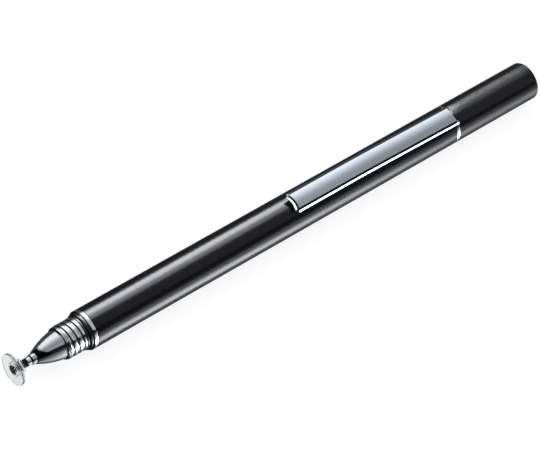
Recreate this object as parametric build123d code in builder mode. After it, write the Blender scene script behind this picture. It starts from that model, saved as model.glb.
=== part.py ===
"""Stylus pen: clear disc tip on a ball joint, threaded neck, pocket clip and a screw cap kept on the tail."""

import os
from math import cos, radians, sin, sqrt

from build123d import *

os.makedirs("parts", exist_ok=True)

# Sizes in millimetres. The pen lies along X with its tip at -X and its clip up.
# Every station below is measured along the pen from the face of the tip disc.

# Fits shared by all pieces
glue_gap = 0.02
running_gap = 0.04
moving_gap = 0.08
overrun = 0.10

# Barrel
barrel_radius = 4.25
barrel_wall = 0.55
barrel_length = 97.35
barrel_edge = 0.10

# Tip disc and its socket hub
disc_radius = 3.40
disc_thickness = 0.50
disc_edge_round = 0.10
hub_radius = 1.50
hub_length = 2.15
hub_end_round = 0.22
plug_radius = 1.00
plug_depth = 0.34

# Ball joint
ball_radius = 0.90
ball_depth = 1.36
socket_wrap = 0.50
stud_neck_radius = 0.38
shank_radius = 0.60
shank_length = 9.00
tilt_limit = 25

# Rubber sleeve and chrome collar
sleeve_radius = 0.87
sleeve_lip_radius = 0.52
tip_length = 3.30
collar_front_radius = 0.92
collar_front_length = 0.80
collar_radius = 1.18
collar_flare = 0.34
collar_length = 1.90
collar_round = 0.15

# Nose cone
nose_front_radius = 1.30
nose_mid_radius = 2.26
nose_mid_length = 2.24
nose_base_radius = 3.12
nose_length = 5.80

# Screw thread of the neck, the tail stud and the cap
thread_radius = 3.58
thread_pitch = 1.27
groove_depth = 0.22
groove_mouth = 0.58
groove_floor = 0.18
thread_clearance = 0.07
thread_length = 3.80
thread_lead = 0.85
spigot_radius = 2.18
spigot_length = 1.50
neck_turns = 3.4
ridge_turns = 2.0

# Rings between the thread and the barrel
ring_seat_radius = 3.20
stop_ring_width = 0.72
stop_ring_radius = 3.68
stop_ring_round = 0.25
shoulder_width = 0.72
shoulder_radius = 3.95
shoulder_round = 0.24
front_ring_width = 0.80
ring_edge_round = 0.08

# Brass bush in the front of the barrel
bush_length = 9.00
bush_bore_radius = 2.90
neck_tail_length = 7.00

# Clip and its band
clip_band_width = 0.80
clip_length = 46.30
clip_top_width = 3.90
clip_foot_width = 4.84
clip_side_drop = 0.66
clip_crown = 0.28
clip_front_height = 5.64
clip_rear_height = 4.40
clip_flat_length = 18.30
clip_bend_radius = 80.00
clip_end_bevel = 0.50
clip_bump_length = 2.40
clip_bump_width = 1.60
clip_bump_setback = 1.20

# Tail stud and cap
tail_spigot_length = 8.00
tail_thread_length = 4.40
tail_relief = 0.70
tail_thread_clock = 180
cap_length = 23.30
cap_end_wall = 0.95
cap_end_round = 0.45
cap_mouth_edge = 0.10
pad_thickness = 1.00

# Stations along the pen
collar_start = tip_length
nose_start = collar_start + collar_length
thread_start = nose_start + nose_length
stop_ring_start = thread_start + thread_lead + thread_length
shoulder_start = stop_ring_start + stop_ring_width
front_ring_start = shoulder_start + shoulder_width
barrel_start = front_ring_start + front_ring_width
band_start = barrel_start + barrel_length
band_end = band_start + clip_band_width
cap_start = band_end + moving_gap
pen_length = cap_start + cap_length

# Values worked out from the sizes above
bore_radius = barrel_radius - barrel_wall
socket_radius = ball_radius + running_gap
hub_tail = hub_length - ball_depth
tilt = radians(tilt_limit)
groove_floor_radius = thread_radius - groove_depth
groove_flank_slope = (groove_mouth - groove_floor) / groove_depth / 2
cap_bore_radius = thread_radius + thread_clearance
band_bore_radius = thread_radius + 2 * glue_gap

# Planes along the pen: first coordinate from the disc's face, second the radius or the height above the axis
tip_point = (-pen_length / 2, 0, barrel_radius)
turning_plane = Plane(origin=tip_point, x_dir=(1, 0, 0), z_dir=(0, 0, 1))
side_plane = Plane(origin=tip_point, x_dir=(1, 0, 0), z_dir=(0, -1, 0))
pen_axis = Axis(tip_point, (1, 0, 0))


def station(along):
    """Return the X coordinate of a station, given its distance from the disc's face."""
    return along - pen_length / 2


def cross_plane(along):
    """Return the plane across the pen at a station, centred on its axis, with the clip side up."""
    return Plane(origin=(station(along), 0, barrel_radius), x_dir=(0, 1, 0), z_dir=(1, 0, 0))


def tilted_hub_reach(radius):
    """Return the station that the hub's rear face reaches at a radius when the disc is fully tilted."""
    across = (radius + hub_tail * sin(tilt)) / cos(tilt)
    return ball_depth + hub_tail * cos(tilt) + across * sin(tilt)


def tilted_bore_radius(shaft_radius, behind_ball):
    """Return the bore that lets a shaft tilt fully, at a distance behind the ball's centre."""
    return (shaft_radius + behind_ball * sin(tilt)) / cos(tilt) + moving_gap


def circles_of(shape, radius):
    """Return a part's round edges of one radius, from tip to tail."""
    round_edges = shape.edges().filter_by(GeomType.CIRCLE)
    return round_edges.filter_by(lambda edge: abs(edge.radius - radius) < glue_gap).sort_by(Axis.X)


def thread_coil(first_station, turns, low_radius, low_width, high_radius, high_width):
    """Return a right-hand coil of trapezoid section between two radii, starting at the top of the pen."""
    coil_plane = Plane(
        origin=(station(first_station), 0, barrel_radius + low_radius), x_dir=(1, 0, 0), z_dir=(0, -1, 0)
    )
    rise = high_radius - low_radius
    with BuildPart() as coil:
        with BuildLine() as path:
            Helix(
                pitch=thread_pitch,
                height=turns * thread_pitch,
                radius=low_radius,
                center=(station(first_station), 0, barrel_radius),
                direction=(1, 0, 0),
            )
        with BuildSketch(coil_plane):
            with BuildLine():
                Polyline(
                    (-low_width / 2, 0),
                    (low_width / 2, 0),
                    (high_width / 2, rise),
                    (-high_width / 2, rise),
                    close=True,
                )
            make_face()
        sweep(path=path.line, is_frenet=True)
    return coil.part


def thread_groove(first_station, turns):
    """Return the coil that cuts the thread's groove into a crest of thread_radius."""
    top_radius = thread_radius + overrun
    top_width = groove_mouth + 2 * groove_flank_slope * overrun
    return thread_coil(first_station, turns, groove_floor_radius, groove_floor, top_radius, top_width)


def thread_ridge(first_station, turns):
    """Return the coil inside the cap that runs in the groove with thread_clearance all round."""
    crest_radius = groove_floor_radius + thread_clearance
    crest_width = groove_floor + 2 * groove_flank_slope * thread_clearance - 2 * thread_clearance
    root_radius = cap_bore_radius + overrun
    root_width = crest_width + 2 * groove_flank_slope * (root_radius - crest_radius)
    return thread_coil(first_station, turns, crest_radius, crest_width, root_radius, root_width)


# Clear disc with its hub. The ball goes in from the face and turns on the rounded seat at the rear.
seat_mouth_radius = sqrt(socket_radius**2 - socket_wrap**2)
flare_radius = max(tilted_bore_radius(stud_neck_radius, hub_tail), seat_mouth_radius)
with BuildPart() as tip_disc:
    with BuildSketch(turning_plane):
        with BuildLine():
            Polyline((0, plug_radius), (0, disc_radius), (disc_thickness, disc_radius), (disc_thickness, hub_radius))
            Line((disc_thickness, hub_radius), (hub_length, hub_radius))
            Line((hub_length, hub_radius), (hub_length, flare_radius))
            Line((hub_length, flare_radius), (ball_depth + socket_wrap, seat_mouth_radius))
            RadiusArc((ball_depth + socket_wrap, seat_mouth_radius), (ball_depth, socket_radius), -socket_radius)
            Polyline(
                (ball_depth, socket_radius), (plug_depth, socket_radius), (plug_depth, plug_radius), (0, plug_radius)
            )
        make_face()
    revolve(axis=pen_axis)
    fillet(circles_of(tip_disc, disc_radius), radius=disc_edge_round)
    fillet(circles_of(tip_disc, hub_radius)[-1], radius=hub_end_round)
tip_disc.part.label = "tip_disc"
export_step(tip_disc.part, "parts/tip_disc.step")

# Black insert that closes the socket, flush with the disc's face.
with BuildPart() as disc_plug:
    with BuildSketch(cross_plane(0)):
        Circle(plug_radius - glue_gap)
    extrude(amount=plug_depth)
disc_plug.part.label = "disc_plug"
export_step(disc_plug.part, "parts/disc_plug.step")

# Steel ball, thin neck and the shank that goes through the nose into the threaded neck.
neck_joint = ball_depth + sqrt(ball_radius**2 - stud_neck_radius**2)
shank_end = collar_start + shank_length
with BuildPart() as ball_stud:
    with BuildSketch(turning_plane):
        with BuildLine():
            Line((ball_depth - ball_radius, 0), (shank_end, 0))
            Polyline(
                (shank_end, 0),
                (shank_end, shank_radius),
                (collar_start, shank_radius),
                (collar_start, stud_neck_radius),
                (neck_joint, stud_neck_radius),
            )
            RadiusArc((neck_joint, stud_neck_radius), (ball_depth, ball_radius), -ball_radius)
            RadiusArc((ball_depth, ball_radius), (ball_depth - ball_radius, 0), -ball_radius)
        make_face()
    revolve(axis=pen_axis)
ball_stud.part.label = "ball_stud"
export_step(ball_stud.part, "parts/ball_stud.step")

# Rubber sleeve round the thin neck. Its front is cut back to clear the hub when the disc tilts.
sleeve_lip = tilted_hub_reach(sleeve_lip_radius) + moving_gap
sleeve_full = tilted_hub_reach(sleeve_radius) + moving_gap
with BuildPart() as neck_sleeve:
    with BuildSketch(turning_plane):
        with BuildLine():
            Polyline(
                (sleeve_lip, stud_neck_radius + running_gap),
                (sleeve_lip, sleeve_lip_radius),
                (sleeve_full, sleeve_radius),
                (collar_start - running_gap, sleeve_radius),
                (collar_start - running_gap, stud_neck_radius + running_gap),
                close=True,
            )
        make_face()
    revolve(axis=pen_axis)
neck_sleeve.part.label = "neck_sleeve"
export_step(neck_sleeve.part, "parts/neck_sleeve.step")

# Stepped chrome collar on the shank, against the nose.
collar_step = collar_start + collar_front_length
with BuildPart() as tip_collar:
    with BuildSketch(turning_plane):
        with BuildLine():
            Polyline(
                (collar_start, shank_radius + glue_gap),
                (collar_start, collar_front_radius),
                (collar_step, collar_front_radius),
                (collar_step + collar_flare, collar_radius),
                (nose_start, collar_radius),
                (nose_start, shank_radius + glue_gap),
                close=True,
            )
        make_face()
    revolve(axis=pen_axis)
    fillet(circles_of(tip_collar, collar_radius), radius=collar_round)
tip_collar.part.label = "tip_collar"
export_step(tip_collar.part, "parts/tip_collar.step")

# Bullet-shaped nose, bored for the shank and for the spigot of the threaded neck.
spigot_start = thread_start - spigot_length
with BuildPart() as nose_cone:
    with BuildSketch(turning_plane):
        with BuildLine():
            Line((nose_start, shank_radius + glue_gap), (nose_start, nose_front_radius))
            ThreePointArc(
                (nose_start, nose_front_radius),
                (nose_start + nose_mid_length, nose_mid_radius),
                (thread_start, nose_base_radius),
            )
            Polyline(
                (thread_start, nose_base_radius),
                (thread_start, spigot_radius + glue_gap),
                (spigot_start - running_gap, spigot_radius + glue_gap),
                (spigot_start - running_gap, shank_radius + glue_gap),
                (nose_start, shank_radius + glue_gap),
            )
        make_face()
    revolve(axis=pen_axis)
nose_cone.part.label = "nose_cone"
export_step(nose_cone.part, "parts/nose_cone.step")

# Threaded neck: spigot for the nose, bore for the shank, lead-in, thread, seat for the rings and tail for the bush.
lead_end = thread_start + thread_lead
with BuildPart() as thread_neck:
    with BuildSketch(turning_plane):
        with BuildLine():
            Polyline(
                (shank_end + running_gap, 0),
                (shank_end + running_gap, shank_radius + glue_gap),
                (spigot_start, shank_radius + glue_gap),
                (spigot_start, spigot_radius),
                (thread_start, spigot_radius),
                (thread_start, nose_base_radius),
                (lead_end, thread_radius),
                (stop_ring_start, thread_radius),
                (stop_ring_start, ring_seat_radius),
                (barrel_start, ring_seat_radius),
                (barrel_start, bush_bore_radius - glue_gap),
                (barrel_start + neck_tail_length, bush_bore_radius - glue_gap),
                (barrel_start + neck_tail_length, 0),
                close=True,
            )
        make_face()
    revolve(axis=pen_axis)
    add(thread_groove(thread_start - groove_floor / 2, neck_turns), mode=Mode.SUBTRACT)
thread_neck.part.label = "thread_neck"
export_step(thread_neck.part, "parts/thread_neck.step")

# Black rounded ring at the root of the thread.
with BuildPart() as stop_ring:
    with BuildSketch(cross_plane(stop_ring_start)):
        Circle(stop_ring_radius)
        Circle(ring_seat_radius + glue_gap, mode=Mode.SUBTRACT)
    extrude(amount=stop_ring_width)
    fillet(circles_of(stop_ring, stop_ring_radius), radius=stop_ring_round)
stop_ring.part.label = "stop_ring"
export_step(stop_ring.part, "parts/stop_ring.step")

# Second black ring, a step larger, with a rounded front edge.
with BuildPart() as shoulder_ring:
    with BuildSketch(cross_plane(shoulder_start)):
        Circle(shoulder_radius)
        Circle(ring_seat_radius + glue_gap, mode=Mode.SUBTRACT)
    extrude(amount=shoulder_width)
    fillet(circles_of(shoulder_ring, shoulder_radius)[0], radius=shoulder_round)
shoulder_ring.part.label = "shoulder_ring"
export_step(shoulder_ring.part, "parts/shoulder_ring.step")

# Chrome ring at the front of the barrel.
with BuildPart() as front_ring:
    with BuildSketch(cross_plane(front_ring_start)):
        Circle(barrel_radius)
        Circle(ring_seat_radius + glue_gap, mode=Mode.SUBTRACT)
    extrude(amount=front_ring_width)
    fillet(circles_of(front_ring, barrel_radius), radius=ring_edge_round)
front_ring.part.label = "front_ring"
export_step(front_ring.part, "parts/front_ring.step")

# Brass bush between the neck's tail and the barrel's bore.
with BuildPart() as front_bush:
    with BuildSketch(cross_plane(barrel_start)):
        Circle(bore_radius - glue_gap)
        Circle(bush_bore_radius, mode=Mode.SUBTRACT)
    extrude(amount=bush_length)
front_bush.part.label = "front_bush"
export_step(front_bush.part, "parts/front_bush.step")

# Aluminium tube.
with BuildPart() as barrel:
    with BuildSketch(cross_plane(barrel_start)):
        Circle(barrel_radius)
        Circle(bore_radius, mode=Mode.SUBTRACT)
    extrude(amount=barrel_length)
    chamfer(circles_of(barrel, barrel_radius), length=barrel_edge)
barrel.part.label = "barrel"
export_step(barrel.part, "parts/barrel.step")

# Chrome band at the rear of the barrel.
with BuildPart() as clip_band:
    with BuildSketch(cross_plane(band_start)):
        Circle(barrel_radius)
        Circle(band_bore_radius, mode=Mode.SUBTRACT)
    extrude(amount=clip_band_width)
    fillet(circles_of(clip_band, barrel_radius), radius=ring_edge_round)
clip_band.part.label = "clip_band"
export_step(clip_band.part, "parts/clip_band.step")

# Clip: crowned bar with bevelled sides, level at its free end and then sloping down to lie on the band.
# A bump near the free end closes the slot on the barrel.
clip_start = band_end - clip_length
clip_bend = clip_start + clip_flat_length
clip_slope = (clip_front_height - clip_rear_height) / (band_end - clip_bend)
clip_top_height = clip_front_height + clip_crown
clip_underside_height = clip_front_height - clip_side_drop
with BuildPart() as clip:
    with BuildLine(side_plane) as clip_path:
        FilletPolyline(
            (clip_start, clip_front_height),
            (clip_bend, clip_front_height),
            (band_end + overrun, clip_rear_height - overrun * clip_slope),
            radius=clip_bend_radius,
        )
    with BuildSketch(cross_plane(clip_start)):
        with BuildLine():
            Polyline(
                (clip_top_width / 2, clip_front_height),
                (clip_foot_width / 2, clip_underside_height),
                (-clip_foot_width / 2, clip_underside_height),
                (-clip_top_width / 2, clip_front_height),
            )
            ThreePointArc(
                (-clip_top_width / 2, clip_front_height), (0, clip_top_height), (clip_top_width / 2, clip_front_height)
            )
        make_face()
    sweep(path=clip_path.line)
    with BuildSketch(cross_plane(band_end)):
        Circle(clip_top_height + clip_foot_width)
    extrude(amount=2 * overrun, mode=Mode.SUBTRACT)
    with BuildSketch(side_plane):
        with BuildLine():
            Polyline(
                (clip_start, clip_underside_height + clip_side_drop / 2),
                (clip_start + clip_end_bevel, clip_top_height),
                (clip_start, clip_top_height),
                close=True,
            )
        make_face()
    extrude(amount=clip_foot_width, both=True, mode=Mode.SUBTRACT)
    with BuildSketch(side_plane):
        with BuildLine():
            bump_front = clip_start + clip_bump_setback
            Line((bump_front, clip_underside_height), (bump_front + clip_bump_length, clip_underside_height))
            ThreePointArc(
                (bump_front + clip_bump_length, clip_underside_height),
                (bump_front + clip_bump_length / 2, barrel_radius + running_gap),
                (bump_front, clip_underside_height),
            )
        make_face()
    extrude(amount=clip_bump_width / 2, both=True)
    with BuildSketch(cross_plane(clip_start)):
        Circle(barrel_radius + running_gap)
    extrude(amount=clip_length, mode=Mode.SUBTRACT)
clip.part.label = "clip"
export_step(clip.part, "parts/clip.step")

# Threaded stud in the rear of the barrel. Its thread starts below, away from the clip.
tail_thread_end = band_end + tail_thread_length
tail_groove_start = band_end + tail_relief / 2
tail_groove_turns = (tail_thread_end + groove_mouth / 2 - tail_groove_start) / thread_pitch
relief_radius = groove_floor_radius - glue_gap
with BuildPart() as tail_stud:
    with BuildSketch(turning_plane):
        with BuildLine():
            Polyline(
                (band_start - tail_spigot_length, 0),
                (band_start - tail_spigot_length, bore_radius - glue_gap),
                (band_start, bore_radius - glue_gap),
                (band_start, band_bore_radius - glue_gap),
                (band_end, band_bore_radius - glue_gap),
                (band_end, relief_radius),
                (band_end + tail_relief, relief_radius),
                (band_end + tail_relief, thread_radius),
                (tail_thread_end, thread_radius),
                (tail_thread_end, 0),
                close=True,
            )
        make_face()
    revolve(axis=pen_axis)
    add(thread_groove(tail_groove_start, tail_groove_turns).rotate(pen_axis, tail_thread_clock), mode=Mode.SUBTRACT)
tail_stud.part.label = "tail_stud"
export_step(tail_stud.part, "parts/tail_stud.step")

# Screw cap: closed tube with a coil inside its mouth that runs in the stud's groove.
cap_inner_end = pen_length - cap_end_wall
with BuildPart() as cap_shell:
    with BuildSketch(cross_plane(cap_start)):
        Circle(barrel_radius)
    extrude(amount=cap_length)
    with BuildSketch(cross_plane(cap_start)):
        Circle(cap_bore_radius)
    extrude(amount=cap_length - cap_end_wall, mode=Mode.SUBTRACT)
    fillet(circles_of(cap_shell, barrel_radius)[-1], radius=cap_end_round)
    chamfer(circles_of(cap_shell, barrel_radius)[0], length=cap_mouth_edge)
    add(thread_ridge(tail_groove_start + thread_pitch, ridge_turns).rotate(pen_axis, tail_thread_clock))
cap_shell.part.label = "cap_shell"
export_step(cap_shell.part, "parts/cap_shell.step")

# Soft pad at the closed end of the cap.
with BuildPart() as cap_pad:
    with BuildSketch(cross_plane(cap_inner_end - glue_gap)):
        Circle(cap_bore_radius - running_gap)
    extrude(amount=-pad_thickness)
cap_pad.part.label = "cap_pad"
export_step(cap_pad.part, "parts/cap_pad.step")
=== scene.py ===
"""Stylus pen with a disc tip: turned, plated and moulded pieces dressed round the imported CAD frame."""

import logging
import math
from dataclasses import dataclass
from enum import Enum
from typing import Any, Sequence

import bpy
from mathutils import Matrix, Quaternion, Vector


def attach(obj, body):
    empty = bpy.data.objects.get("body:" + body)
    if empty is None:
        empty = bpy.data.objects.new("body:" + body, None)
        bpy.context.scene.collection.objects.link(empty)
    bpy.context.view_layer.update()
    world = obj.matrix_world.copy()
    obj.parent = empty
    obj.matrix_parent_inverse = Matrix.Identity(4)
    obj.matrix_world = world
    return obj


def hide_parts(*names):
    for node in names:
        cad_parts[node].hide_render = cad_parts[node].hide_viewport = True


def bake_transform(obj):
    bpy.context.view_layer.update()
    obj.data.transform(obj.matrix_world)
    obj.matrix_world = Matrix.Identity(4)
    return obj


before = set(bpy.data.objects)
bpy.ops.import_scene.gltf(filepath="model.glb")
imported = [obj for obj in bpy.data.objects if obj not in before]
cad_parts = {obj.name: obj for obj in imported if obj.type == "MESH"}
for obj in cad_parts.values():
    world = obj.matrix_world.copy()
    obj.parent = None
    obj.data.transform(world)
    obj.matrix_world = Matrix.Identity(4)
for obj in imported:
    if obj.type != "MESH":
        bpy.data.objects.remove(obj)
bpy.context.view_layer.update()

LOG = logging.getLogger("stylus_pen")
MM = 0.001
AXIS_HEIGHT = 4.25
PEN_LENGTH = 139.42
FULL_TURN = 2 * math.pi
ARC_STEP = math.radians(12)
SEGMENTS = 160
FINE_SEGMENTS = 192
WHITE = (1.0, 1.0, 1.0, 1.0)
Piece = bpy.types.Object
Node = bpy.types.Node
Tree = bpy.types.NodeTree
Socket = bpy.types.NodeSocket
Point2 = tuple[float, float]
Point3 = tuple[float, float, float]
Faces = list[list[int]]


def linear(hex_colour: str) -> tuple[float, float, float, float]:
    """Turn an sRGB hex colour into linear light.

    Args:
        hex_colour: Six hex digits, with or without a leading hash.

    Returns:
        Red, green, blue and an alpha of one.
    """
    digits = hex_colour.lstrip("#")
    shares = [int(digits[at : at + 2], 16) / 255 for at in (0, 2, 4)]
    values = [s / 12.92 if s <= 0.04045 else ((s + 0.055) / 1.055) ** 2.4 for s in shares]
    return values[0], values[1], values[2], 1.0


def smooth(share: float) -> float:
    """Ease a share at both of its ends, zero and one."""
    return share * share * (3 - 2 * share)


def between(start: float, end: float, lengths: int) -> list[float]:
    """List the stations that part a stretch into equal lengths, without its two ends."""
    return [start + (end - start) * step / lengths for step in range(1, lengths)]


def clear_tree(owner: bpy.types.Material | bpy.types.World) -> Tree:
    """Give a material or a world an empty node tree.

    Args:
        owner: The material or world.

    Returns:
        The tree.
    """
    owner.use_nodes = True
    owner.node_tree.nodes.clear()
    return owner.node_tree


def add_node(tree: Tree, kind: str, settings: dict[str | int, Any] | None = None) -> Node:
    """Add a node to a tree, with its settings and links.

    Args:
        tree: The node tree.
        kind: The node's type name in Blender, after ShaderNode.
        settings: Values by the name or number of an input, or by the name of a property. An output socket
            is linked to the input, and so is the first output of a node.

    Returns:
        The new node.
    """
    node = tree.nodes.new("ShaderNode" + kind)
    for name, value in (settings or {}).items():
        if isinstance(value, Node):
            value = value.outputs[0]
        if isinstance(value, Socket):
            tree.links.new(value, node.inputs[name])
        elif isinstance(name, int) or name in node.inputs:
            node.inputs[name].default_value = value
        else:
            setattr(node, name, value)
    return node


def add_object(name: str, data: bpy.types.ID) -> Piece:
    """Make an object and link it to the scene.

    Args:
        name: Its name.
        data: Its mesh, light or camera.

    Returns:
        The object.
    """
    made = bpy.data.objects.new(name, data)
    bpy.context.scene.collection.objects.link(made)
    return made


class Pattern(Enum):
    """What a surface shows close up."""

    BLASTED = "fine grit marks all over"
    POLISHED = "faint waves and wiped smudges in a mirror"
    TURNED = "fine rings left by a lathe tool"
    MOULDED = "soft flow marks from a mould"
    FOAMED = "open pores"


CLOUD_DETAIL = {Pattern.BLASTED: 1.0, Pattern.POLISHED: 4.0, Pattern.MOULDED: 2.0}
RING_WAVES = {"bands_direction": "X", "Distortion": 1.5, "Detail": 2.0, "Detail Scale": 1.0}
RING_SCALE = 0.31416  # wave scale that gives one ring per metre
TINT_SPAN = 0.999  # keeps the tint of the most absorbed colour just above black


@dataclass(frozen=True)
class Finish:
    """A real material with the surface that its process leaves.

    The pattern mixes shade into colour, both sRGB hex, and takes the roughness from low to high. A metal keeps
    Blender's default refractive index. The specular level is low where pores swallow the mirror light.
    Clearness is the share of red, green and blue light left after a millimetre inside the material.
    """

    name: str
    colour: str
    shade: str
    pattern: Pattern
    grain_mm: float
    relief_mm: float
    rough_low: float
    rough_high: float
    metallic: float = 0.0
    ior: float = 1.5
    specular: float = 0.5
    transmission: float = 0.0
    clearness: Point3 | None = None

    def material(self) -> bpy.types.Material:
        """Build the finish once and hand out the same material after that.

        Returns:
            The material.
        """
        made = bpy.data.materials.get(self.name)
        if made is not None:
            return made
        made = bpy.data.materials.new(self.name)
        tree = clear_tree(made)
        grain = self._grain(tree)
        mix = {"data_type": "RGBA", "Factor": grain, 6: linear(self.colour), 7: linear(self.shade)}
        rough = {"To Min": self.rough_low, "To Max": self.rough_high, "Value": grain}
        bump = add_node(tree, "Bump", {"Strength": 1.0, "Distance": self.relief_mm * MM, "Height": grain})
        surface = {
            "Metallic": self.metallic,
            "IOR": self.ior,
            "Specular IOR Level": self.specular,
            "Transmission Weight": self.transmission,
            "Base Color": add_node(tree, "Mix", mix).outputs[2],
            "Roughness": add_node(tree, "MapRange", rough),
            "Normal": bump,
        }
        output = add_node(tree, "OutputMaterial", {"Surface": add_node(tree, "BsdfPrincipled", surface)})
        if self.clearness is not None:
            losses = [-math.log(share) / MM for share in self.clearness]
            density = max(losses)
            tint = (*(1 - loss / density * TINT_SPAN for loss in losses), 1.0)
            haze = add_node(tree, "VolumeAbsorption", {"Color": tint, "Density": density})
            tree.links.new(haze.outputs["Volume"], output.inputs["Volume"])
        return made

    def _grain(self, tree: Tree) -> Socket:
        """Add the nodes that draw the pattern from zero to one.

        Args:
            tree: The material's node tree.

        Returns:
            The pattern's value.
        """
        place = add_node(tree, "TexCoord").outputs["Object"]
        cells = 1 / (self.grain_mm * MM)
        if self.pattern is Pattern.TURNED:
            rings = {**RING_WAVES, "Scale": RING_SCALE * cells, "Vector": place}
            return add_node(tree, "TexWave", rings).outputs["Fac"]
        if self.pattern is Pattern.FOAMED:
            return add_node(tree, "TexVoronoi", {"Scale": cells, "Vector": place}).outputs["Distance"]
        cloud = {"Scale": cells, "Detail": CLOUD_DETAIL[self.pattern], "Vector": place}
        return add_node(tree, "TexNoise", cloud).outputs["Fac"]


# Aluminium tube, bead blasted and anodised black: a deep black that lifts to a grainy grey sheen along the
# light. The blasted pits swallow part of the mirror light. Grit of 0.05 mm is too fine to show, so the
# grain is drawn at 0.22 mm.
BLACK_ANODISED = Finish(
    "anodised_aluminium_blasted_black", "#000000", "#0E0E11", Pattern.BLASTED, 0.22, 0.020, 0.17, 0.24,
    ior=1.46, specular=0.36,
)

# Brass or steel under bright chrome plate: a cold mirror with faint waves from the polishing wheel.
CHROME = Finish(
    "chrome_plate_polished", "#EDEEF0", "#E2E4E6", Pattern.POLISHED, 3.0, 0.002, 0.035, 0.07, metallic=1.0
)

# Spring steel under nickel plate: the clip's polished mirror, its colour set darker and greyer than the chrome
# as painted shade.
SHADED_CLIP_NICKEL = Finish(
    "nickel_plate_painted_shade", "#C3C8CD", "#BCC1C6", Pattern.POLISHED, 4.0, 0.002, 0.035, 0.07, metallic=1.0
)

# Clear acrylic, injection moulded: colourless, glossy, with grey edges where light leaves sideways.
CLEAR_ACRYLIC = Finish(
    "acrylic_moulded_clear", "#F7FAFB", "#F1F5F6", Pattern.MOULDED, 0.8, 0.002, 0.015, 0.04,
    ior=1.49, transmission=1.0, clearness=(0.93, 0.933, 0.936),
)

# Silicone rubber, moulded: dense black with a dull skin.
BLACK_RUBBER = Finish(
    "silicone_rubber_moulded_black", "#060607", "#0B0B0D", Pattern.MOULDED, 0.15, 0.006, 0.60, 0.75,
    ior=1.41, specular=0.2,
)

# Carbon-filled rubber, moulded: the dark grey insert that touches the screen.
CARBON_RUBBER = Finish(
    "carbon_rubber_moulded", "#353F45", "#404A50", Pattern.MOULDED, 0.12, 0.004, 0.45, 0.6
)

# Acetal, turned and dyed black: satin black rings with fine tool lines.
BLACK_ACETAL = Finish(
    "acetal_turned_black", "#0A0A0C", "#0F0F11", Pattern.TURNED, 0.12, 0.002, 0.22, 0.32, ior=1.48
)

# Bearing steel, ground and not polished: the soft grey ball inside the hub.
BALL_STEEL = Finish(
    "bearing_steel_ground", "#C4C8CC", "#B8BCC1", Pattern.POLISHED, 0.4, 0.0005, 0.34, 0.42, metallic=1.0
)

# Brass, turned: warm yellow inner pieces with tool lines.
TURNED_BRASS = Finish(
    "brass_turned", "#C9A55C", "#B08C45", Pattern.TURNED, 0.15, 0.003, 0.2, 0.34, metallic=1.0
)

# Polyethylene foam, cut: soft grey-black pad with open pores.
FOAM = Finish("polyethylene_foam_cut", "#232326", "#121214", Pattern.FOAMED, 0.25, 0.03, 0.8, 0.95)


@dataclass(frozen=True)
class Corner:
    """A corner of an outline: its station and radius, and how round it is, in millimetres."""

    along: float
    radius: float
    rounding: float = 0.0


def rounded(corners: Sequence[Corner], closed: bool) -> list[Point2]:
    """Round the corners of an outline with arcs.

    Args:
        corners: The outline's corners in order.
        closed: True if the last corner joins the first.

    Returns:
        Points of station and radius, in millimetres.
    """
    points: list[Point2] = []
    count = len(corners)
    for number, corner in enumerate(corners):
        here = Vector((corner.along, corner.radius))
        inner = closed or 0 < number < count - 1
        if corner.rounding <= 0 or not inner:
            points.append((here.x, here.y))
            continue
        before, after = corners[number - 1], corners[(number + 1) % count]
        back = (Vector((before.along, before.radius)) - here).normalized()
        ahead = (Vector((after.along, after.radius)) - here).normalized()
        half = back.angle(ahead) / 2
        centre = here + (back + ahead).normalized() * corner.rounding / math.sin(half)
        first = here + back * corner.rounding / math.tan(half) - centre
        last = here + ahead * corner.rounding / math.tan(half) - centre
        turn = first.angle_signed(last)
        steps = max(3, math.ceil(abs(turn) / ARC_STEP))
        for step in range(steps + 1):
            cosine, sine = math.cos(-turn * step / steps), math.sin(-turn * step / steps)
            spun = Vector((first.x * cosine - first.y * sine, first.x * sine + first.y * cosine))
            points.append((centre.x + spun.x, centre.y + spun.y))
    return points


def on_pen(along: float, radius: float, turn: float) -> Point3:
    """Place a point round the pen's axis.

    Args:
        along: Station from the disc's face, in millimetres.
        radius: Distance from the axis, in millimetres.
        turn: Angle about +X from the top of the pen, in radians.

    Returns:
        The point in metres.
    """
    return (
        (along - PEN_LENGTH / 2) * MM,
        -radius * math.sin(turn) * MM,
        (AXIS_HEIGHT + radius * math.cos(turn)) * MM,
    )


def ring_points(along: float, radius: float, segments: int) -> list[Point3]:
    """Place points all the way round the pen's axis, at a station and radius in millimetres."""
    return [on_pen(along, radius, FULL_TURN * step / segments) for step in range(segments)]


def grid_faces(rows: int, columns: int, first: int = 0, wrap: bool = True, flip: bool = False) -> Faces:
    """Join neighbouring rows of points with four-sided faces.

    Args:
        rows: How many rows there are.
        columns: How many points a row has.
        first: Number of the first point.
        wrap: True if a row's last point joins its first.
        flip: True to turn the faces over.

    Returns:
        Point numbers of each face.
    """
    faces = []
    for low in range(first, first + (rows - 1) * columns, columns):
        for step in range(columns if wrap else columns - 1):
            ahead = (step + 1) % columns
            face = [low + step, low + ahead, low + columns + ahead, low + columns + step]
            faces.append(face[:1] + face[:0:-1] if flip else face)
    return faces


def mesh_piece(
    name: str, points: list[Point3], faces: Faces, finish: Finish, sharp_degrees: float = 32.0
) -> Piece:
    """Make a smooth-shaded piece from points and faces.

    Args:
        name: The piece's name.
        points: Points in metres.
        faces: Point numbers of each face.
        finish: The piece's finish.
        sharp_degrees: Edges that turn more than this stay crisp.

    Returns:
        The new object, linked to the scene.
    """
    mesh = bpy.data.meshes.new(name)
    mesh.from_pydata(points, [], faces)
    mesh.validate()
    mesh.shade_smooth()
    mesh.set_sharp_from_angle(angle=math.radians(sharp_degrees))
    mesh.materials.append(finish.material())
    return add_object(name, mesh)


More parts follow.
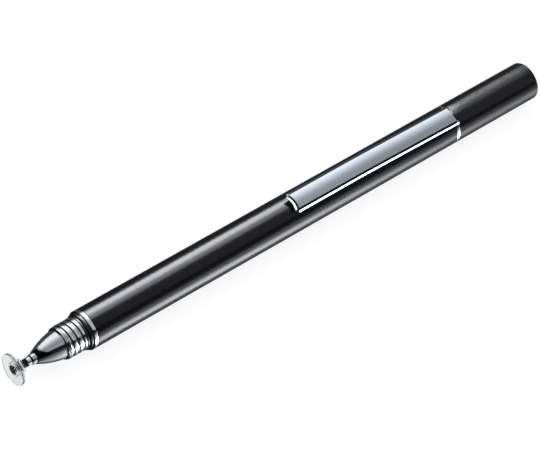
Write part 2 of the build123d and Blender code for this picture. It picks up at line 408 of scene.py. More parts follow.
def turned(name: str, corners: Sequence[Corner], finish: Finish, segments: int = SEGMENTS) -> Piece:
    """Turn an outline about the pen's axis.

    Args:
        name: The piece's name.
        corners: The outline, inner side first. One that starts on the axis ends there and is left open.
        finish: The piece's finish.
        segments: Steps round the axis.

    Returns:
        The new object.
    """
    closed = corners[0].radius > 0
    points: list[Point3] = []
    rows: list[list[int]] = []
    for along, radius in rounded(corners, closed):
        first = len(points)
        if radius > 0:
            points += ring_points(along, radius, segments)
            rows.append(list(range(first, first + segments)))
        else:
            points.append(on_pen(along, 0.0, 0.0))
            rows.append([first] * segments)
    faces: Faces = []
    for low, high in zip(rows, rows[1:] + rows[: int(closed)]):
        for step in range(segments):
            ahead = (step + 1) % segments
            kept = list(dict.fromkeys((low[step], low[ahead], high[ahead], high[step])))
            if len(kept) > 2:
                faces.append(kept)
    return mesh_piece(name, points, faces, finish)


def settle(piece: Piece, body: str, node: str) -> Piece:
    """Let a piece ride on a body in place of a CAD node.

    Args:
        piece: The piece.
        body: The CAD body that it moves with.
        node: The CAD node that it stands for.

    Returns:
        The piece.
    """
    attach(piece, body)
    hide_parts(node)
    LOG.info("%s stands for %s on body %s", piece.name, node, body)
    return piece


def dress_node(name: str, finish: Finish) -> None:
    """Give a carried-over CAD node a finish.

    Args:
        name: The node's name.
        finish: Its finish.
    """
    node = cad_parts[name]
    node.data.materials.clear()
    node.data.materials.append(finish.material())
    LOG.info("%s keeps its CAD shape, finished as %s", name, finish.name)


@dataclass
class DiscTip:
    """The clear disc with its socket hub, the insert and the rubber boot behind it."""

    disc_radius: float = 3.40
    disc_thickness: float = 0.50
    disc_edge: float = 0.10
    hub_radius: float = 1.50
    hub_length: float = 2.15
    hub_round: float = 0.22
    hub_root: float = 0.10
    plug_radius: float = 1.00
    plug_depth: float = 0.34
    plug_gap: float = 0.01
    plug_round: float = 0.03
    edge_break: float = 0.02
    ball_depth: float = 1.36
    socket_radius: float = 0.94
    socket_wrap: float = 0.50
    socket_steps: int = 8
    flare_radius: float = 0.866
    boot_radius: float = 0.87
    boot_bore: float = 0.42
    boot_gap: float = 0.01
    boot_end: float = 3.26
    boot_rows: int = 16
    boot_segments: int = 96
    neck_radius: float = 0.38
    neck_gap: float = 0.006
    tilt_degrees: float = 25.0

    def build(self) -> list[Piece]:
        """Make the disc, the insert and the boot."""
        return [self._disc(), self._plug(), self._boot()]

    def dress(self) -> None:
        """Give the CAD ball and its shank their finish."""
        dress_node("ball_stud", BALL_STEEL)

    def _disc(self) -> Piece:
        """Turn the clear moulding with the seat for the ball.

        Returns:
            The disc with its hub.
        """
        lip = math.atan2(self.socket_wrap, math.sqrt(self.socket_radius**2 - self.socket_wrap**2))
        seat = []
        for step in range(self.socket_steps + 1):
            angle = lip * (1 - step / self.socket_steps)
            along = self.ball_depth + self.socket_radius * math.sin(angle)
            seat.append(Corner(along, self.socket_radius * math.cos(angle)))
        corners = [
            Corner(self.plug_depth, self.plug_radius),
            Corner(0.0, self.plug_radius, self.edge_break),
            Corner(0.0, self.disc_radius, self.disc_edge),
            Corner(self.disc_thickness, self.disc_radius, self.disc_edge),
            Corner(self.disc_thickness, self.hub_radius, self.hub_root),
            Corner(self.hub_length, self.hub_radius, self.hub_round),
            Corner(self.hub_length, self.flare_radius, self.edge_break),
            *seat,
            Corner(self.plug_depth, self.socket_radius),
        ]
        return settle(turned("clear_disc", corners, CLEAR_ACRYLIC), "disc", "tip_disc")

    def _plug(self) -> Piece:
        """Turn the dark insert, a hair inside its seat.

        Returns:
            The insert.
        """
        radius = self.plug_radius - self.plug_gap
        corners = [
            Corner(0.0, 0.0),
            Corner(0.0, radius, self.plug_round),
            Corner(self.plug_depth, radius, self.edge_break),
            Corner(self.plug_depth, 0.0),
        ]
        piece = turned("face_insert", corners, CARBON_RUBBER)
        return settle(piece, "disc", "disc_plug")

    def _boot(self) -> Piece:
        """Turn the rubber boot from the hub to the collar, its bore opening to clear the ball's neck when the
        disc tilts.

        Returns:
            The boot.
        """
        front = self.hub_length + self.boot_gap
        stations = [front, *between(front, self.boot_end, self.boot_rows), self.boot_end]
        outer = [Corner(along, self.boot_radius) for along in stations]
        inner = []
        for row, along in enumerate(stations[::-1]):
            # The bore opens towards the hub, to clear the ball's neck when the disc tilts.
            lean = math.radians(self.tilt_degrees) * smooth(row / self.boot_rows)
            sway = (along - self.ball_depth) * math.sin(lean)
            clear = (self.neck_radius + self.neck_gap + sway) / math.cos(lean)
            inner.append(Corner(along, max(self.boot_bore, clear)))
        piece = turned("rubber_boot", outer + inner, BLACK_RUBBER, self.boot_segments)
        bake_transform(piece)
        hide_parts("neck_sleeve")
        return piece


@dataclass
class NoseGroup:
    """The chrome collar, the bullet-shaped nose and the threaded neck."""

    collar_start: float = 3.30
    collar_front_radius: float = 0.92
    collar_step: float = 4.10
    collar_flare: float = 0.34
    collar_waist: float = 1.09
    collar_radius: float = 1.18
    collar_rounds: tuple[float, ...] = (0.08, 0.06, 0.15, 0.12)
    shank_bore: float = 0.62
    nose_start: float = 5.20
    nose_front_radius: float = 1.30
    nose_front_edge: float = 0.06
    nose_mid_radius: float = 2.26
    nose_mid: float = 7.44
    nose_end: float = 11.00
    nose_base_radius: float = 3.12
    nose_base_edge: float = 0.05
    nose_steps: int = 40
    spigot_radius: float = 2.18
    spigot_start: float = 9.50
    spigot_gaps: Point2 = (0.04, 0.02)
    undercut_end: float = 11.30
    undercut_radius: float = 2.98
    lead_radius: float = 3.36
    lead_end: float = 11.85
    thread_end: float = 15.65
    thread_radius: float = 3.58
    thread_pitch: float = 1.27
    thread_rows: int = 120
    thread_sharp_degrees: float = 50.0
    groove_start: float = 10.91
    groove_lead: float = 0.5
    groove_turns: float = 3.40
    groove_runout: float = 0.30
    groove_depth: float = 0.19
    groove_mouth: float = 0.82
    groove_floor: float = 0.06
    seat_radius: float = 3.20
    seat_end: float = 17.89
    tail_radius: float = 2.88
    tail_end: float = 24.89

    def build(self) -> list[Piece]:
        """Make the collar, the nose and the threaded neck."""
        return [self._collar(), self._nose(), self._neck()]

    def _collar(self) -> Piece:
        """Turn the stepped collar.

        Returns:
            The collar.
        """
        front, step, flare, rear = self.collar_rounds
        corners = [
            Corner(self.nose_start, self.shank_bore),
            Corner(self.collar_start, self.shank_bore),
            Corner(self.collar_start, self.collar_front_radius, front),
            Corner(self.collar_step, self.collar_front_radius, step),
            Corner(self.collar_step + self.collar_flare, self.collar_waist, flare),
            Corner(self.nose_start, self.collar_radius, rear),
        ]
        return settle(turned("tip_collar_plated", corners, CHROME), "pen", "tip_collar")

    def _nose(self) -> Piece:
        """Turn the nose along the arc through its three measured radii.

        Returns:
            The nose.
        """
        a = Vector((self.nose_start, self.nose_front_radius))
        b = Vector((self.nose_mid, self.nose_mid_radius))
        c = Vector((self.nose_end, self.nose_base_radius))
        d = 2 * (a.x * (b.y - c.y) + b.x * (c.y - a.y) + c.x * (a.y - b.y))
        x = (a.dot(a) * (b.y - c.y) + b.dot(b) * (c.y - a.y) + c.dot(c) * (a.y - b.y)) / d
        y = (a.dot(a) * (c.x - b.x) + b.dot(b) * (a.x - c.x) + c.dot(c) * (b.x - a.x)) / d
        radius = (a - Vector((x, y))).length
        angles = between(math.atan2(a.y - y, a.x - x), math.atan2(c.y - y, c.x - x), self.nose_steps)
        behind, outside = self.spigot_start - self.spigot_gaps[0], self.spigot_radius + self.spigot_gaps[1]
        corners = [
            Corner(behind, outside),
            Corner(behind, self.shank_bore),
            Corner(self.nose_start, self.shank_bore),
            Corner(self.nose_start, self.nose_front_radius - self.nose_front_edge),
            *(Corner(x + radius * math.cos(angle), y + radius * math.sin(angle)) for angle in angles),
            Corner(self.nose_end - self.nose_base_edge, self.nose_base_radius),
            Corner(self.nose_end, self.nose_base_radius - self.nose_base_edge),
            Corner(self.nose_end, outside),
        ]
        piece = turned("nose_plated", corners, CHROME, FINE_SEGMENTS)
        return settle(piece, "pen", "nose_cone")

    def _groove(self, along: float, turn: float) -> float:
        """Tell how much of the groove's depth is cut at a point.

        Args:
            along: Station in millimetres.
            turn: Angle from the top as a share of a turn.

        Returns:
            Zero on the crest and one on the groove's floor.
        """
        wound = (along - self.groove_start) / self.thread_pitch - turn
        nearest = round(wound)
        reach = nearest + turn
        left = self.groove_turns + self.groove_runout / 2 - reach
        if reach < -self.groove_lead or left < 0:
            return 0.0
        offset = abs(wound - nearest) * self.thread_pitch
        share = (self.groove_mouth / 2 - offset) / (self.groove_mouth / 2 - self.groove_floor / 2)
        return smooth(min(max(share, 0.0), 1.0)) * min(left / self.groove_runout, 1.0)

    def _neck(self) -> Piece:
        """Wind the thread as a fine grid, with its spigot, ring seat and tail.

        Returns:
            The threaded neck.
        """
        front = [
            (self.spigot_start, self.shank_bore),
            (self.spigot_start, self.spigot_radius),
            (self.nose_end, self.spigot_radius),
        ]
        rear = [
            (self.thread_end, self.seat_radius),
            (self.seat_end, self.seat_radius),
            (self.seat_end, self.tail_radius),
            (self.tail_end, self.tail_radius),
            (self.tail_end, self.shank_bore),
        ]
        points = [point for row in front for point in ring_points(*row, FINE_SEGMENTS)]
        wound = between(self.nose_end, self.thread_end, self.thread_rows)
        for along in (self.nose_end, *wound, self.thread_end):
            lead = min(1.0, (along - self.nose_end) / (self.lead_end - self.nose_end))
            crest = self.lead_radius + (self.thread_radius - self.lead_radius) * lead
            if along < self.undercut_end:
                crest = self.undercut_radius
            for step in range(FINE_SEGMENTS):
                share = step / FINE_SEGMENTS
                cut = self.thread_radius - self.groove_depth * self._groove(along, share)
                points.append(on_pen(along, min(crest, cut), FULL_TURN * share))
        points += [point for row in rear for point in ring_points(*row, FINE_SEGMENTS)]
        last = len(points) - FINE_SEGMENTS
        ends = [list(range(FINE_SEGMENTS))[::-1], list(range(last, len(points)))]
        faces = grid_faces(len(points) // FINE_SEGMENTS, FINE_SEGMENTS) + ends
        piece = mesh_piece("neck_thread_plated", points, faces, CHROME, self.thread_sharp_degrees)
        return settle(piece, "pen", "thread_neck")


@dataclass
class BarrelGroup:
    """The black rings, the chrome rings and the long satin tube."""

    radius: float = 4.25
    bore: float = 3.70
    seat: float = 3.22
    stop_start: float = 15.65
    stop_radius: float = 3.68
    stop_round: float = 0.25
    shoulder_start: float = 16.37
    shoulder_radius: float = 3.95
    shoulder_round: float = 0.24
    shoulder_break: float = 0.03
    ring_start: float = 17.09
    ring_edge: float = 0.08
    tube_start: float = 17.89
    tube_end: float = 115.24
    tube_edge: float = 0.10
    tube_lengths: int = 24
    band_end: float = 116.04
    band_bore: float = 3.62

    def build(self) -> list[Piece]:
        """Make the rings and the tube, each round a plain bore.

        Returns:
            The pieces.
        """
        stop = [(self.stop_start, self.stop_round), (self.shoulder_start, self.stop_round)]
        shoulder = [(self.shoulder_start, self.shoulder_round), (self.ring_start, self.shoulder_break)]
        ring = [(self.ring_start, self.ring_edge), (self.tube_start, self.ring_edge)]
        # Short lengths keep the shading of the long tube even.
        short = [(along, 0.0) for along in between(self.tube_start, self.tube_end, self.tube_lengths)]
        tube = [(self.tube_start, self.tube_edge), *short, (self.tube_end, self.tube_edge)]
        band = [(self.tube_end, self.ring_edge), (self.band_end, self.ring_edge)]
        black, plate = (BLACK_ACETAL, "black_ring"), (CHROME, "chrome")
        satin = (BLACK_ANODISED, "black_anodised")
        sleeves = (
            ("stop_ring_satin", "stop_ring", stop, self.stop_radius, self.seat, black),
            ("shoulder_ring_satin", "shoulder_ring", shoulder, self.shoulder_radius, self.seat, black),
            ("front_ring_plated", "front_ring", ring, self.radius, self.seat, plate),
            ("barrel_satin", "barrel", tube, self.radius, self.bore, satin),
            ("clip_band_plated", "clip_band", band, self.radius, self.band_bore, plate),
        )
        pieces = []
        for name, node, outer, radius, bore, (finish, slot) in sleeves:
            corners = [Corner(outer[-1][0], bore), Corner(outer[0][0], bore)]
            corners += [Corner(along, radius, rounding) for along, rounding in outer]
            pieces.append(settle(turned(name, corners, finish, FINE_SEGMENTS), "pen", node))
        return pieces

    def dress(self) -> None:
        """Give the CAD brass pieces inside the tube their finish."""
        dress_node("front_bush", TURNED_BRASS)
        dress_node("tail_stud", TURNED_BRASS)


@dataclass
class PocketClip:
    """The plated clip with a crowned top and crisp bevels, level in front and sloping down to the band."""

    start: float = 69.74
    end: float = 116.04
    lengths: int = 44
    cut_margin: float = 0.2
    bend: float = 88.04
    bend_radius: float = 80.0
    front_height: float = 5.64
    rear_height: float = 4.40
    top_width: float = 3.90
    top_steps: int = 20
    foot_width: float = 4.84
    foot_steps: int = 16
    side_drop: float = 0.66
    crown: float = 0.28
    facet_inner: float = 1.695
    facet_outer: float = 2.14
    facet_drop: float = 0.323
    foot_drop: float = 0.74
    foot_round: float = 0.05
    front_bow: float = 0.33
    bow_length: float = 3.0
    corner_slope: float = 0.6
    least_edge: float = 0.08
    sharp_degrees: float = 12.0
    front_facets: tuple[Point2, ...] = ((0.0, 0.58), (0.28, 0.24), (0.67, 0.0))
    rear_facets: tuple[Point2, ...] = ((0.0, 0.26), (0.08, 0.18), (0.55, 0.0))
    barrel_clear: float = 4.29
    bump_start: float = 70.94
    bump_length: float = 2.40
    bump_width: float = 1.60
    bump_steps: int = 16
    bump_shares: tuple[float, ...] = (0.5, 0.42, 0.25, -0.25, -0.42, -0.5)
    bump_flat: float = 0.42
    bump_fall: float = 0.5
    bump_sink: float = 0.02

    def build(self) -> list[Piece]:
        """Make the clip's bar with its bump."""
        return [settle(self._bar(), "clip", "clip")]

    def _fall(self, along: float) -> float:
        """Tell how far the bar has sloped down at a station, with a gentle bend.

        Args:
            along: Station in millimetres.

        Returns:
            The fall in millimetres.
        """
        slope = (self.front_height - self.rear_height) / (self.end - self.bend)
        reach = self.bend_radius * slope / 2
        past = along - (self.bend - reach)
        if past <= 0:
            return 0.0
        if past < 2 * reach:
            return past * past / (2 * self.bend_radius)
        return slope * (along - self.bend)

    def _crown_height(self, across: float) -> float:
        """Tell the height of the crowned top above the axis, at the free end.

        Args:
            across: Distance from the clip's middle, in millimetres.

        Returns:
            The height in millimetres.
        """
        half = self.top_width / 2
        bend = (half * half + self.crown * self.crown) / (2 * self.crown)
        return self.front_height + self.crown - bend + math.sqrt(bend * bend - across * across)

    def _section(self) -> list[Point2]:
        """Draw the bar's section at the free end, over the top from foot to foot and back below.

        Returns:
            Points across the pen and above its axis, in millimetres.
        """
        foot = self.foot_width / 2
        under = self.front_height - self.side_drop
        crease = self._crown_height(self.facet_inner)
        side = [
            Corner(foot, self.front_height - self.foot_drop, self.foot_round),
            Corner(self.facet_outer, crease - self.facet_drop),
            Corner(self.facet_inner, crease),
        ]
        top = between(self.facet_inner, -self.facet_inner, self.top_steps)
        outline = [
            *side,
            *(Corner(across, self._crown_height(across)) for across in top),
            *(Corner(-corner.along, corner.radius, corner.rounding) for corner in reversed(side)),
            *(Corner(across, under) for across in between(-foot, foot, self.foot_steps)),
        ]
        return rounded(outline, closed=True)

    def _ease(self, along: float) -> float:
        """Tell how far the facets at both ends lower the top at a station.

        Args:
            along: Station in millimetres.

        Returns:
            The drop in millimetres.
        """
        drop = 0.0
        for inward, facets in ((along - self.start, self.front_facets), (self.end - along, self.rear_facets)):
            for (near, high), (far, low) in zip(facets, facets[1:]):
                if near <= inward < far:
                    drop = high + (low - high) * (inward - near) / (far - near)
        return drop

    def _bar(self) -> Piece:
        """Run the section along the bar's bent line, cut the facets of both ends and add the bump.

        Returns:
            The bar.
        """
        section = self._section()
        count = len(section)
        half = self.top_width / 2
        under = self.front_height - self.side_drop
        cuts = [self.start + inward for inward, _ in self.front_facets]
        cuts += [self.end - inward for inward, _ in self.rear_facets]
        plain = between(self.start, self.end, self.lengths)
        stations = sorted(cuts + [a for a in plain if min(abs(a - cut) for cut in cuts) > self.cut_margin])
        points = []
        for along in stations:
            fall, ease = self._fall(along), self._ease(along)
            fade = max(0.0, 1 - (along - self.start) / self.bow_length)
            for across, height in section:
                edge = min(abs(across), half)
                height = min(height, max(under + self.least_edge, self._crown_height(edge) - ease))
                floor = math.sqrt(max(self.barrel_clear**2 - across**2, 0.0))
                bow = self.front_bow * (1 - (edge / half) ** 2)
                corner = self.corner_slope * max(0.0, abs(across) - self.facet_inner)
                place = along + fade * (bow + corner) - PEN_LENGTH / 2
                points.append((place * MM, across * MM, (AXIS_HEIGHT + max(height - fall, floor)) * MM))
        faces = grid_faces(len(stations), count, flip=True)
        last = len(points) - count
        faces += [list(range(count)), list(range(last, last + count))[::-1]]
        self._add_bump(points, faces, under)
        return mesh_piece("pocket_clip_plated", points, faces, SHADED_CLIP_NICKEL, self.sharp_degrees)

    def _add_bump(self, points: list[Point3], faces: Faces, under: float) -> None:
        """Add the rounded bump under the free end.

        Args:
            points: The bar's points, in metres.
            faces: The bar's faces.
            under: Height of the bar's underside above the axis, in millimetres.
        """
        first = len(points)
        row = self.bump_steps + 1
        for across in self.bump_shares:
            rim = max(abs(across) - self.bump_flat, 0.0) * self.bump_fall
            for step in range(row):
                share = step / self.bump_steps
                depth = (under - self.barrel_clear) * 4 * share * (1 - share) - rim
                place = (self.bump_start + self.bump_length * share - PEN_LENGTH / 2) * MM
                height = (AXIS_HEIGHT + under - max(depth, -self.bump_sink)) * MM
                points.append((place, across * self.bump_width * MM, height))
        last = len(points) - row
        faces += grid_faces(len(self.bump_shares), row, first, wrap=False, flip=True)
        faces += [list(range(first, first + row)), list(range(last, last + row))[::-1]]


@dataclass
class ScrewCap:
    """The satin black cap on the tail, with a thread ridge in its mouth."""

    start: float = 116.12
    end: float = 139.42
    radius: float = 4.25
    bore: float = 3.65
    bore_round: float = 0.2
    bore_break: float = 0.05
    end_wall: float = 0.95
    end_round: float = 0.45
    mouth_edge: float = 0.10
    lengths: int = 8
    ridge_start: float = 117.66
    ridge_turns: float = 2.0
    ridge_pitch: float = 1.27
    ridge_crest: float = 3.43
    ridge_width: float = 0.17
    ridge_sink: float = 0.05
    ridge_flank: float = 0.9
    ridge_steps: int = 160

    def build(self) -> list[Piece]:
        """Turn the closed shell and wind the ridge inside it.

        Returns:
            The pieces.
        """
        inner = self.end - self.end_wall
        corners = [
            Corner(inner, 0.0),
            Corner(inner, self.bore, self.bore_round),
            Corner(self.start, self.bore, self.bore_break),
            Corner(self.start, self.radius, self.mouth_edge),
            *(Corner(along, self.radius) for along in between(self.start, self.end, self.lengths)),
            Corner(self.end, self.radius, self.end_round),
            Corner(self.end, 0.0),
        ]
        shell = turned("cap_satin", corners, BLACK_ANODISED, FINE_SEGMENTS)
        settle(shell, "cap", "cap_shell")
        ridge = self._ridge()
        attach(ridge, "cap")
        return [shell, ridge]

    def dress(self) -> None:
        """Give the CAD pad inside the cap its finish."""
        dress_node("cap_pad", FOAM)

    def _ridge(self) -> Piece:
        """Wind the ridge that runs in the tail stud's groove, starting below.

        Returns:
            The ridge.
        """
        half, root = self.ridge_width / 2, self.bore + self.ridge_sink
        spread = half + (root - self.ridge_crest) * self.ridge_flank
        section = ((-spread, root), (-half, self.ridge_crest), (half, self.ridge_crest), (spread, root))
        sides = len(section)
        points = []
        for step in range(self.ridge_steps + 1):
            turns = self.ridge_turns * step / self.ridge_steps
            along = self.ridge_start + self.ridge_pitch * turns
            turn = math.pi + FULL_TURN * turns
            points += [on_pen(along + offset, radius, turn) for offset, radius in section]
        last = len(points) - sides
        ends = [list(range(sides)), list(range(last, last + sides))[::-1]]
        faces = grid_faces(self.ridge_steps + 1, sides) + ends
        return mesh_piece("cap_thread_ridge", points, faces, BLACK_ANODISED)


@dataclass(frozen=True)
class PhotoCamera:
    """The camera at the photo's viewing angle: a long lens, rolled so that the pen runs up to the right."""

    location_mm: Point3 = (-313.21, -154.083, 508.233)
    target_mm: Point3 = (-3.710, -0.090, 4.25)
    roll_degrees: float = 29.396
    lens_mm: float = 200.0
    sensor_mm: float = 36.0
    clip_m: Point2 = (0.01, 20.0)

    def build(self) -> None:
        """Make the camera and set it as the scene's."""
        data = bpy.data.cameras.new("photo_camera")
        data.lens = self.lens_mm
        data.sensor_width = self.sensor_mm
        data.sensor_fit = "HORIZONTAL"
        data.clip_start, data.clip_end = self.clip_m
        camera = add_object("photo_camera", data)
        camera.location = Vector(self.location_mm) * MM
        ahead = Vector(self.target_mm) - Vector(self.location_mm)
        camera.rotation_mode = "QUATERNION"
        roll = Quaternion((0.0, 0.0, 1.0), math.radians(self.roll_degrees))
        camera.rotation_quaternion = ahead.to_track_quat("-Z", "Y") @ roll
        bpy.context.scene.camera = camera


@dataclass(frozen=True)
class Strip:
    """A strip light along the pen, for long highlights.

    Its middle is some degrees from straight up towards +Y, its spread is half its width in degrees, and it
    starts and ends at places along X in millimetres.
    """

    name: str
    degrees: float
    spread: float
    start: float
    end: float
    level: float


@dataclass(frozen=True)
class Studio:
    """A white table in a dim room, with a grey ceiling panel, a dark gap beside it and strips along the pen.

    Lengths are in millimetres, but floor_m in metres. What mirrors see of the room is set in steps. Those of
    overhead and table have degrees from straight up towards +Y and a brightness. Those of reaches go from
    minus one towards the tip to one towards the tail, with the shares of the light overhead and of the
    table's light. Below lean_from degrees the steps overhead lean along the room. The reaches bow to both
    sides of bow_from degrees, up to bow_most square radians.
    """

    floor_m: float = 3.0
    floor_shade: str = "#6E6E6E"
    floor_lift: float = 0.86
    card_low: Point2 = (-51.0, -40.0)
    card_high: Point2 = (90.0, -10.2)
    card_height: float = 0.5
    card_level: float = 10.4
    card_fade: Point2 = (-10.0, 66.0)
    card_share: float = 0.33
    lamp_place: Point3 = (60.0, 250.0, 900.0)
    lamp_size: Point2 = (900.0, 900.0)
    lamp_watts: float = 5.0
    ambient: float = 0.70
    cool: str = "#F5F8FF"
    strip_away: float = 603.0
    strips: tuple[Strip, ...] = (
        Strip("upper_strip", 52.5, 15.5, -0.5, 424.5, 18.5),
        Strip("shoulder_strip", 25.0, 12.0, -0.5, 424.5, 5.6),
        Strip("near_strip", -85.0, 6.0, -0.5, 424.5, 1.75),
        Strip("far_strip", 68.0, 12.0, -650.0, -60.0, 9.0),
    )
    clip_strips: tuple[Strip, ...] = (Strip("clip_strip", -64.0, 19.0, -650.0, 40.0, 1.3),)
    lean_from: float = -10.0
    lean_slope: float = -1.05
    lean_level: float = 0.531
    bow_from: float = 10.0
    bow_slope: float = -0.14
    bow_most: float = 1.44
    overhead: tuple[Point2, ...] = (
        (-180.0, 0.03), (-49.0, 0.03), (-43.0, 0.84), (-34.0, 0.82), (-20.0, 0.74), (-8.0, 0.71), (2.0, 0.74),
        (12.0, 0.9), (21.0, 1.3), (29.0, 1.75), (38.0, 2.2), (48.0, 2.5), (74.0, 2.5), (80.0, 1.0),
        (86.0, 0.28), (92.0, 0.14), (100.0, 0.11), (112.0, 0.17), (180.0, 0.2),
    )
    table: tuple[Point2, ...] = (
        (-180.0, 0.12), (-152.0, 0.25), (-138.0, 1.1), (-126.0, 2.2), (-112.0, 2.1), (-98.0, 1.35),
        (-84.0, 0.86), (-70.0, 0.27), (-63.0, 0.07), (-58.0, 0.0), (180.0, 0.0),
    )
    reaches: tuple[Point3, ...] = (
        (-1.0, 1.1, 0.0), (-0.88, 1.0, 0.0), (-0.76, 0.0, 0.0), (-0.5, 0.0, 0.05), (-0.4, 0.0, 0.09),
        (-0.33, 0.0, 0.12), (-0.28, 0.4, 0.15), (-0.2, 0.42, 0.19), (-0.1, 0.43, 0.26), (0.0, 0.43, 0.36),
        (0.1, 0.44, 0.52), (0.2, 0.45, 0.8), (0.26, 0.47, 1.0), (0.32, 0.56, 1.0), (0.42, 0.74, 1.0),
        (0.5, 0.75, 1.0), (0.58, 0.68, 1.0), (0.78, 0.45, 0.8), (0.88, 0.0, 0.3), (1.0, 0.0, 0.1),
    )

    def build(self, satin: Sequence[Piece], plated: Sequence[Piece]) -> None:
        """Make the floor, the card, the lights and the room.

        Args:
            satin: The black pieces that the strips along the pen are set for.
            plated: The clip, which has a strip of its own for its far side.
        """
        bpy.context.scene.view_settings.view_transform = "Standard"
        self._floor()
        self._card()
        groups = (("strip_lit", satin, self.strips), ("clip_lit", plated, self.clip_strips))
        for name, pieces, strips in groups:
            lit = bpy.data.collections.new(name)
            for piece in pieces:
                lit.objects.link(piece)
            for strip in strips:
                self._hang(strip, lit)
        lamp = self._lamp("soft_lamp", self.lamp_place, (0.0, 0.0, 0.0), self.lamp_size, self.lamp_watts)
        lamp.visible_glossy = False
        self._world()

    def _sheet(
        self, name: str, material: str, low: Point2, high: Point2, height: float
    ) -> tuple[Piece, Tree]:
        """Lay a flat sheet of the stage, with a material to fill in.

        Args:
            name: The sheet's name.
            material: Its material's name.
            low: Its lowest X and Y.
            high: Its highest X and Y.
            height: Its height.

        Returns:
            The sheet and its material's node tree.
        """
        mesh = bpy.data.meshes.new(name)
        corners = [(low[0], low[1]), (high[0], low[1]), (high[0], high[1]), (low[0], high[1])]
        mesh.from_pydata([(x * MM, y * MM, height * MM) for x, y in corners], [], [(0, 1, 2, 3)])
        mesh.materials.append(bpy.data.materials.new(material))
        sheet = add_object(name, mesh)
        return sheet, clear_tree(mesh.materials[0])

    def _floor(self) -> None:
        """Lay matte white card under the pen: mostly bright of itself, with a soft shadow of the pen."""
        reach = self.floor_m / MM / 2
        floor, tree = self._sheet("floor", "card_matte_white", (-reach, -reach), (reach, reach), 0.0)
        floor.visible_glossy = False
        rays = add_node(tree, "LightPath").outputs
        seen = {"operation": "MAXIMUM", 0: rays["Is Camera Ray"], 1: rays["Is Transmission Ray"]}
        lift = {"operation": "MULTIPLY", 0: add_node(tree, "Math", seen), 1: self.floor_lift}
        glow = add_node(tree, "Emission", {"Strength": add_node(tree, "Math", lift)})
        card = add_node(tree, "BsdfDiffuse", {"Color": linear(self.floor_shade)})
        add_node(tree, "OutputMaterial", {"Surface": add_node(tree, "AddShader", {0: card, 1: glow})})

    def _card(self) -> None:
        """Lay a lit card along the near side of the pen that only mirrors see, fading towards the tail."""
        card, tree = self._sheet("lit_card", "lit_card", self.card_low, self.card_high, self.card_height)
        card.visible_camera = card.visible_diffuse = card.visible_transmission = False
        card.visible_shadow = card.visible_volume_scatter = False
        place = add_node(tree, "TexCoord").outputs["Object"]
        fade = {
            "From Min": self.card_fade[0] * MM,
            "From Max": self.card_fade[1] * MM,
            "To Min": self.card_level,
            "To Max": self.card_share * self.card_level,
            "Value": add_node(tree, "SeparateXYZ", {0: place}),
        }
        glow = {"Color": linear(self.cool), "Strength": add_node(tree, "MapRange", fade)}
        add_node(tree, "OutputMaterial", {"Surface": add_node(tree, "Emission", glow)})

    def _lamp(self, name: str, place: Point3, aim: Point3, size: Point2, watts: float) -> Piece:
        """Hang a soft rectangular lamp.

        Args:
            name: The lamp's name.
            place: Its middle.
            aim: The point that it faces.
            size: Its length along the pen and its width.
            watts: Its power.

        Returns:
            The lamp.
        """
        data = bpy.data.lights.new(name, "AREA")
        data.shape = "RECTANGLE"
        data.size, data.size_y = size[0] * MM, size[1] * MM
        data.energy = watts
        lamp = add_object(name, data)
        lamp.location = Vector(place) * MM
        lamp.rotation_mode = "QUATERNION"
        lamp.rotation_quaternion = (Vector(aim) - Vector(place)).to_track_quat("-Z", "Y")
        lamp.visible_camera = False
        return lamp

    def _hang(self, strip: Strip, lit: bpy.types.Collection) -> None:
        """Hang a strip light that is seen in gloss alone.

        Args:
            strip: The strip.
            lit: The pieces that it lights.
        """
        away, turn = self.strip_away, math.radians(strip.degrees)
        length, middle = strip.end - strip.start, (strip.start + strip.end) / 2
        width = 2 * away * math.tan(math.radians(strip.spread))
        watts = math.pi * length * width * MM * MM * strip.level
        place = (middle, away * math.sin(turn), AXIS_HEIGHT + away * math.cos(turn))
        lamp = self._lamp(strip.name, place, (middle, 0.0, AXIS_HEIGHT), (length, width), watts)
        lamp.data.color = linear(self.cool)[:3]
        lamp.visible_diffuse = False
        lamp.light_linking.receiver_collection = lit

    def _ramp(
        self, tree: Tree, value: Node, limit: float, steps: Sequence[tuple[float, ...]]
    ) -> Node:
        """Add a ramp with its steps.

        Args:
            tree: The node tree.
            value: What the ramp reads.
            limit: The value at the last step. The first step has it below zero.
            steps: Places with one level or two.

        Returns:
            The ramp.
        """
        share = add_node(tree, "MapRange", {"From Min": -limit, "From Max": limit, "Value": value})
        ramp = add_node(tree, "ValToRGB", {"Fac": share})
        marks = ramp.color_ramp.elements
        marks.remove(marks[1])
        for number, (at, *levels) in enumerate(steps):
            place = (at / steps[-1][0] + 1) / 2
            mark = marks[0] if number == 0 else marks.new(place)
            mark.position = place
            mark.color = (levels[0], levels[-1], levels[-1], 1.0)
        return ramp

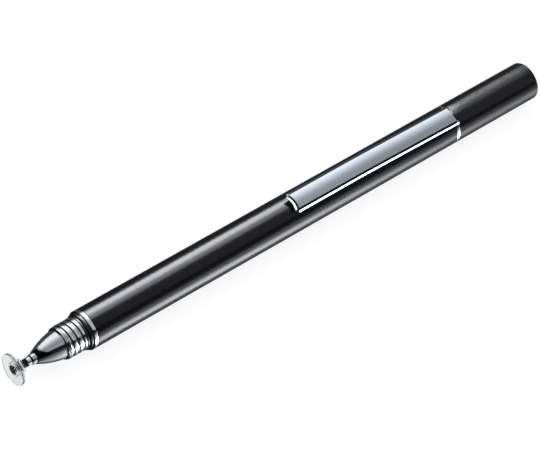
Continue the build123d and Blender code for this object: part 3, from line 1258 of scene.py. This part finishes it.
    def _world(self) -> None:
        """Paint the room: white to the eye, a plain level for light, and dark and light bands for mirrors."""
        world = bpy.data.worlds.new("studio")
        bpy.context.scene.world = world
        tree = clear_tree(world)
        x, y, z = add_node(tree, "SeparateXYZ", {0: add_node(tree, "TexCoord").outputs["Generated"]}).outputs
        turn = add_node(tree, "Math", {"operation": "ARCTAN2", 0: y, 1: z})
        below = add_node(tree, "Math", {"operation": "ADD", 0: turn, 1: -math.radians(self.lean_from)})
        below = add_node(tree, "Math", {"operation": "MINIMUM", 0: below, 1: 0.0})
        lean = {"operation": "MULTIPLY_ADD", 0: x, 1: self.lean_slope, 2: self.lean_level}
        lean_node = add_node(tree, "Math", lean)
        leaned = add_node(tree, "Math", {"operation": "MULTIPLY_ADD", 0: below, 1: lean_node, 2: turn})
        aside = add_node(tree, "Math", {"operation": "ADD", 0: turn, 1: -math.radians(self.bow_from)})
        bow = add_node(tree, "Math", {"operation": "MULTIPLY", 0: aside, 1: aside})
        bow = add_node(tree, "Math", {"operation": "MINIMUM", 0: bow, 1: self.bow_most})
        bowed = add_node(tree, "Math", {"operation": "MULTIPLY_ADD", 0: bow, 1: self.bow_slope, 2: x})
        above = self._ramp(tree, leaned, math.pi, self.overhead)
        near = self._ramp(tree, turn, math.pi, self.table)
        reach = self._ramp(tree, bowed, 1.0, self.reaches)
        shares = add_node(tree, "SeparateColor", {0: reach}).outputs
        upper = add_node(tree, "Math", {"operation": "MULTIPLY", 0: above, 1: shares[0]})
        level = add_node(tree, "Math", {"operation": "MULTIPLY_ADD", 0: near, 1: shares[1], 2: upper})
        rays = add_node(tree, "LightPath").outputs
        plain = add_node(tree, "Background", {"Color": WHITE, "Strength": self.ambient})
        mirror = add_node(tree, "Background", {"Color": linear(self.cool), "Strength": level})
        white = add_node(tree, "Background", {"Color": WHITE, "Strength": 1.0})
        seen = {"operation": "MAXIMUM", 0: rays["Is Camera Ray"], 1: rays["Is Transmission Ray"]}
        inner = add_node(tree, "MixShader", {0: rays["Is Glossy Ray"], 1: plain, 2: mirror})
        outer = add_node(tree, "MixShader", {0: add_node(tree, "Math", seen), 1: inner, 2: white})
        add_node(tree, "OutputWorld", {"Surface": outer})


def main() -> None:
    """Build the camera, the pen's groups in order from tip to tail, and the studio."""
    logging.basicConfig(level=logging.INFO, format="%(name)s: %(message)s")
    PhotoCamera().build()
    tip, nose, barrel, clip, cap = DiscTip(), NoseGroup(), BarrelGroup(), PocketClip(), ScrewCap()
    pieces = []
    for group in (tip, nose, barrel, clip, cap):
        for piece in group.build():
            LOG.info("built %s with %d faces", piece.name, len(piece.data.polygons))
            pieces.append(piece)
    for group in (tip, barrel, cap):
        group.dress()
    black = (BLACK_ANODISED.name, BLACK_ACETAL.name)
    satin = [piece for piece in pieces if piece.active_material.name in black]
    plated = [piece for piece in pieces if piece.active_material.name == SHADED_CLIP_NICKEL.name]
    Studio().build(satin, plated)


if __name__ == "__main__":
    main()
